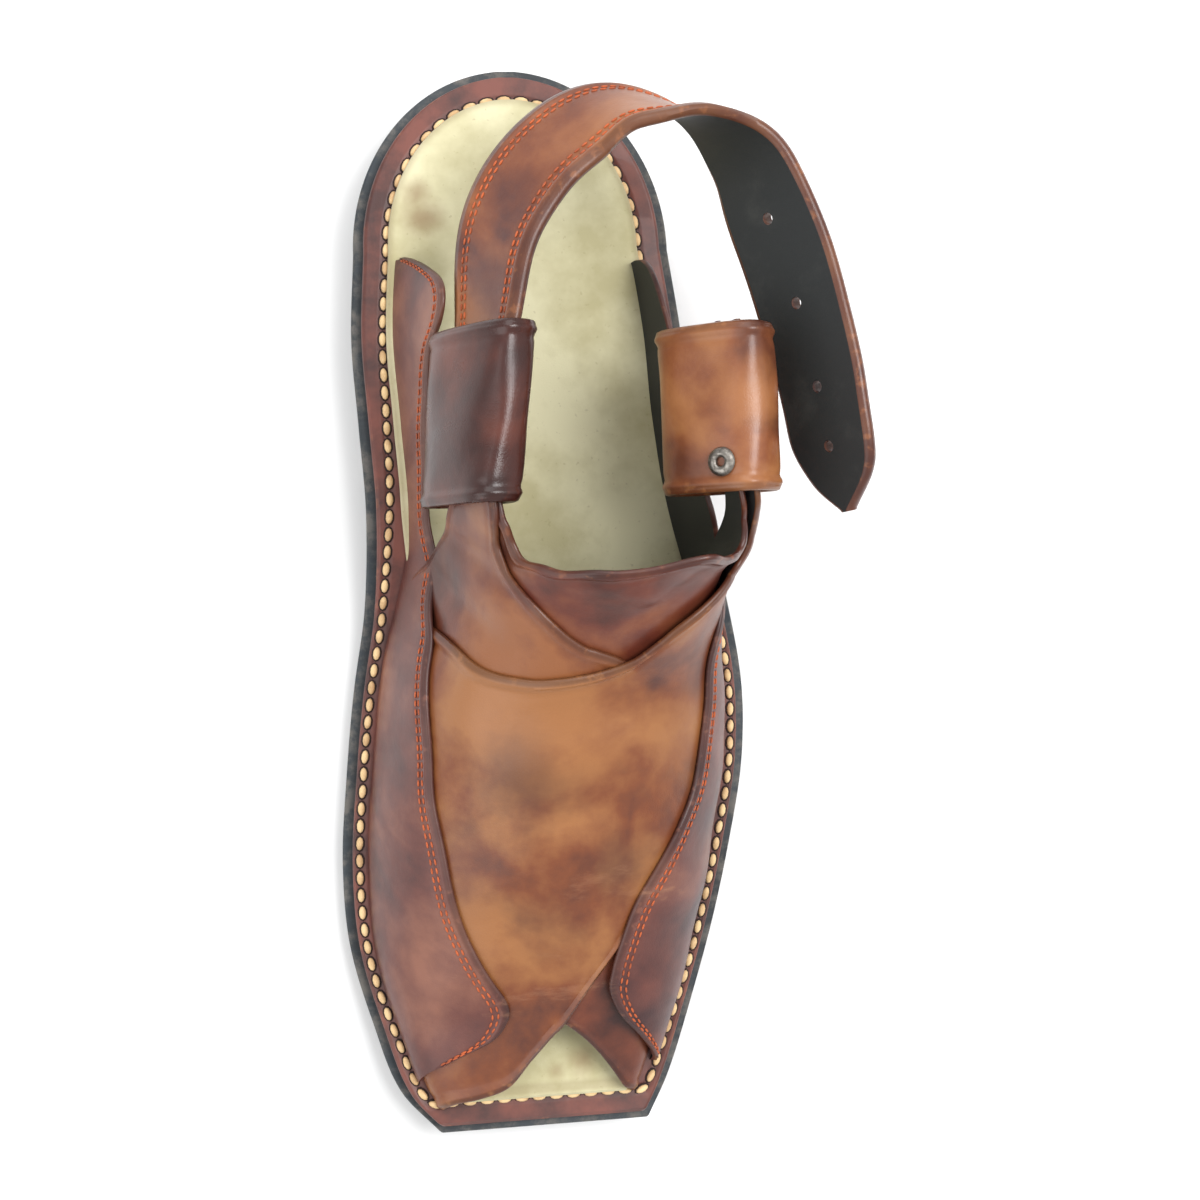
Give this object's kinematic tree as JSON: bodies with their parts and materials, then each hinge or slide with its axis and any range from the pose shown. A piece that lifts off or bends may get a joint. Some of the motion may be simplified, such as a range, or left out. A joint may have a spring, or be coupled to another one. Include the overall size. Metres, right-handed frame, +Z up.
{
  "type": "cross-strap leather chappal",
  "caption": "Open-heel leather sandal with wide crossed straps, side panels, strap sleeves, a loose back strap, welted midsole and rubber outsole with heel",
  "frame": {"origin": "the middle of the heel's flat underside, on the floor, 40 mm in front of the heel's rear end", "axes": "+Y points to the toe, +X to the inner (medial) side of the left foot, +Z up from the floor"},
  "size_m": [0.1357, 0.2898, 0.0862],
  "materials": {
    "outsole_rubber": "dull black rubber with dusty scuffs",
    "heel_rubber": "dull black rubber with brushed cross marks",
    "welt_leather": "waxed red-brown leather",
    "insole_suede": "cream suede",
    "upper_leather": "antiqued tan and brown leather, half gloss",
    "medial_loop_leather": "very dark brown leather, half gloss",
    "lateral_loop_leather": "tan brown leather, half gloss",
    "eyelet_metal": "dulled grey metal",
    "strap_leather": "antiqued brown leather with black lining"
  },
  "bodies": {
    "root": {"outsole": "outsole_rubber", "heel_lift": "heel_rubber", "midsole": "welt_leather", "insole": "insole_suede", "upper": "upper_leather", "medial_loop": "medial_loop_leather", "lateral_loop": "lateral_loop_leather", "eyelet": "eyelet_metal", "back_strap": "strap_leather"}
  },
  "joints": []
}
